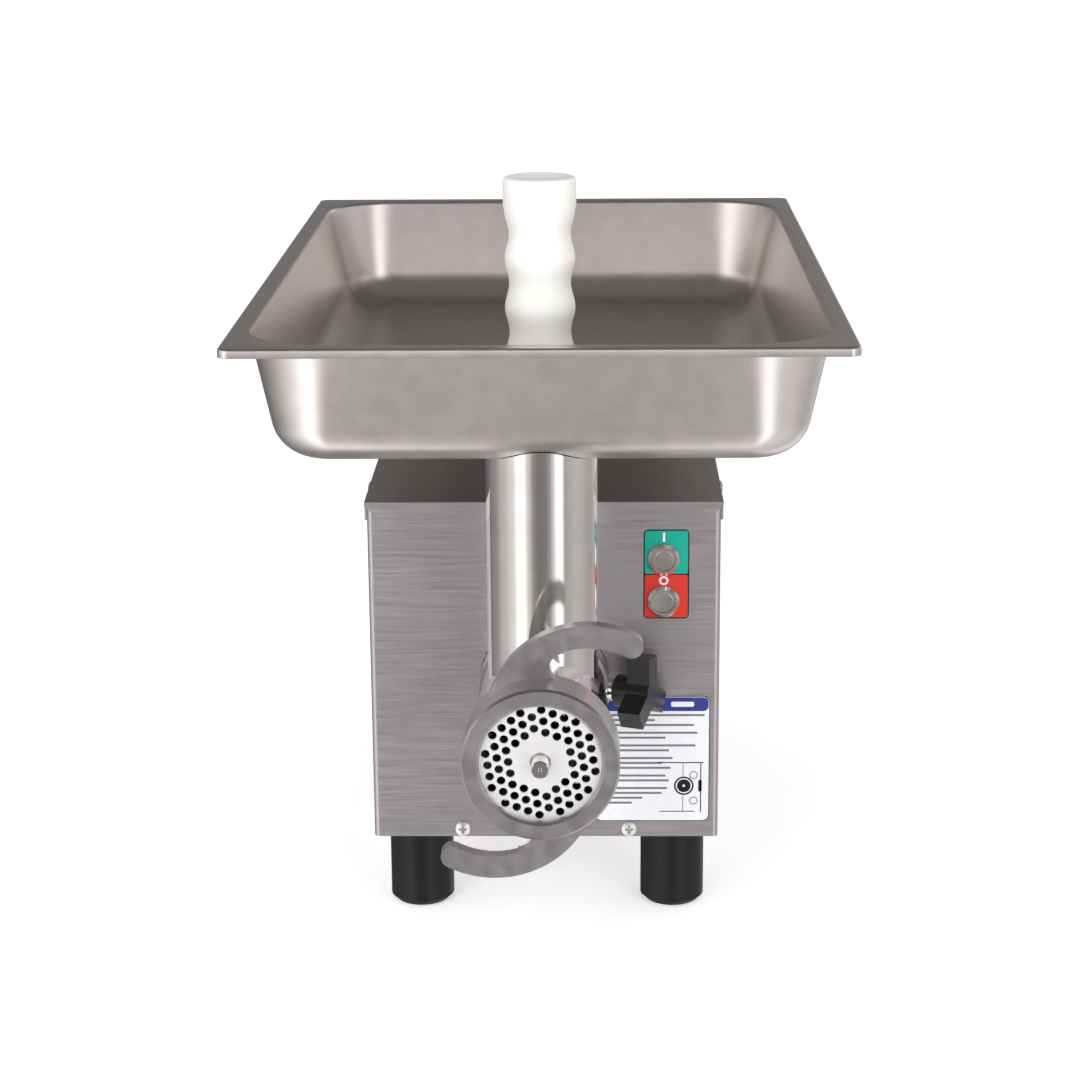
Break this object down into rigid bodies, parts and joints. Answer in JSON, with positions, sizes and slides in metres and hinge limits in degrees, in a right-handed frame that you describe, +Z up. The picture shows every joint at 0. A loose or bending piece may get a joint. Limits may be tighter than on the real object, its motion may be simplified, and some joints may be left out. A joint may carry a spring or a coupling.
{
  "type": "meat grinder",
  "caption": "Countertop electric meat grinder: stainless case on tall feet, clamped grinding head with ring nut, feed pan and stomper.",
  "frame": {"origin": "on the counter under the middle of the bounding box", "axes": "+Z up, +X to the right of a person facing the plate, +Y towards the back, so the plate faces -Y"},
  "size_m": [0.325, 0.568, 0.432],
  "materials": {
    "brushed_sheet": "horizontal brushed stainless sheet, number 4 finish",
    "pan_steel": "drawn stainless, satin inside and out with a soft sheen",
    "polished_steel": "mirror-polished stainless",
    "ring_steel": "satin ground stainless with polished edges",
    "plate_steel": "bright ground tool steel",
    "bright_steel": "bright zinc-plated steel",
    "button_metal": "satin nickel-plated brass",
    "shaft_steel": "ground steel",
    "gear_steel": "oiled, cut steel",
    "casting": "cast, as blasted",
    "lamination": "stacked electrical steel, varnished",
    "copper": "varnished copper wire",
    "bronze": "turned bronze",
    "seal_rubber": "brown nitrile",
    "foot_rubber": "black moulded, semi-matt",
    "black_plastic": "black moulded thermoset, semi-gloss",
    "black_nylon": "black nylon",
    "capacitor_can": "cream plastic can",
    "green_plastic": "green moulded contact block",
    "red_plastic": "red moulded contact block",
    "white_plastic": "white food-grade polyethylene, satin",
    "button_label": "laminated label, green upper half and red lower half",
    "white_label": "laminated white label with a blue header band"
  },
  "bodies": {
    "case": {"case_wrap": "brushed_sheet", "top_cover": "brushed_sheet", "rear_panel": "brushed_sheet", "base_plate": "brushed_sheet", "pan_rest": "brushed_sheet", "head_socket": "polished_steel", "case_screws": "bright_steel", "foot_screws": "bright_steel", "gearbox_screws": "bright_steel", "motor_tie_bolts": "bright_steel", "capacitor_clamp": "bright_steel", "output_bearings": "bright_steel", "layshaft_bearings": "bright_steel", "motor_bearings": "bright_steel", "button_bezels": "button_metal", "motor_cradle": "shaft_steel", "electrical_tray": "shaft_steel", "gearbox_cover": "casting", "gearbox_housing": "casting", "bearing_web": "casting", "motor_housing": "casting", "motor_end_bells": "casting", "stator_core": "lamination", "stator_windings": "copper", "shaft_seal": "seal_rubber", "feet": "foot_rubber", "pan_rest_pads": "foot_rubber", "cable_gland": "black_nylon", "contactor": "black_nylon", "run_capacitor": "capacitor_can", "start_switch": "green_plastic", "stop_switch": "red_plastic", "button_label": "button_label", "instruction_label": "white_label"},
    "motor": {"motor_shaft": "shaft_steel", "rotor_core": "lamination", "cooling_fan": "black_nylon", "motor_pinion": "gear_steel"},
    "layshaft": {"layshaft": "shaft_steel", "layshaft_gear": "gear_steel"},
    "drive": {"drive_shaft": "shaft_steel", "output_gear": "gear_steel"},
    "head": {"head_body": "polished_steel", "feed_tube": "polished_steel", "head_bush": "bronze", "plate_key": "bright_steel", "grinder_plate": "plate_steel", "plate_bush": "plate_steel", "thrust_washer": "bronze"},
    "auger": {"auger": "polished_steel", "knife": "plate_steel"},
    "ring_nut": {"ring_nut": "ring_steel"},
    "clamp": {"clamp_screw": "bright_steel", "clamp_knob": "black_plastic"},
    "pan": {"feed_pan": "pan_steel", "pan_rim_band": "pan_steel", "pan_spigot_ring": "pan_steel"},
    "stomper": {"stomper": "white_plastic"},
    "start_button": {"start_cap": "button_metal"},
    "stop_button": {"stop_cap": "button_metal"}
  },
  "joints": [
    {"name": "motor_spin", "type": "hinge", "parent": "case", "child": "motor", "pos_m": [0, 0.0114, 0.1425], "axis": [0, 1, 0], "continuous": true},
    {"name": "layshaft_spin", "type": "hinge", "parent": "case", "child": "layshaft", "pos_m": [0, -0.0786, 0.0945], "axis": [0, 1, 0], "continuous": true},
    {"name": "drive_spin", "type": "hinge", "parent": "case", "child": "drive", "pos_m": [0, -0.1086, 0.1425], "axis": [0, 1, 0], "continuous": true},
    {"name": "head_slide", "type": "slide", "parent": "case", "child": "head", "axis": [0, -1, 0], "range_m": [0, 0.06]},
    {"name": "auger_spin", "type": "hinge", "parent": "head", "child": "auger", "pos_m": [0, -0.1986, 0.1425], "axis": [0, 1, 0], "continuous": true},
    {"name": "ring_nut_turn", "type": "hinge", "parent": "head", "child": "ring_nut", "pos_m": [0, -0.2647, 0.1425], "axis": [0, -1, 0], "range_deg": [0, 720]},
    {"name": "clamp_knob_turn", "type": "hinge", "parent": "case", "child": "clamp", "pos_m": [0, -0.141, 0.1425], "axis": [0.9272, -0.3746, 0], "range_deg": [0, 720]},
    {"name": "pan_lift", "type": "slide", "parent": "head", "child": "pan", "axis": [0, 0, 1], "range_m": [0, 0.12]},
    {"name": "stomper_lift", "type": "slide", "parent": "pan", "child": "stomper", "axis": [0, 0, 1], "range_m": [0, 0.22]},
    {"name": "start_button_press", "type": "slide", "parent": "case", "child": "start_button", "axis": [0, 1, 0], "range_m": [0, 0.0025], "stiffness_N_per_m": 1200, "springref_m": -0.0005},
    {"name": "stop_button_press", "type": "slide", "parent": "case", "child": "stop_button", "axis": [0, 1, 0], "range_m": [0, 0.0025], "stiffness_N_per_m": 1200, "springref_m": -0.0005}
  ],
  "couplings": [
    {"joint": "layshaft_spin", "follows": "motor_spin", "ratio": -0.28},
    {"joint": "drive_spin", "follows": "motor_spin", "ratio": 0.093333},
    {"joint": "auger_spin", "follows": "motor_spin", "ratio": 0.093333}
  ]
}
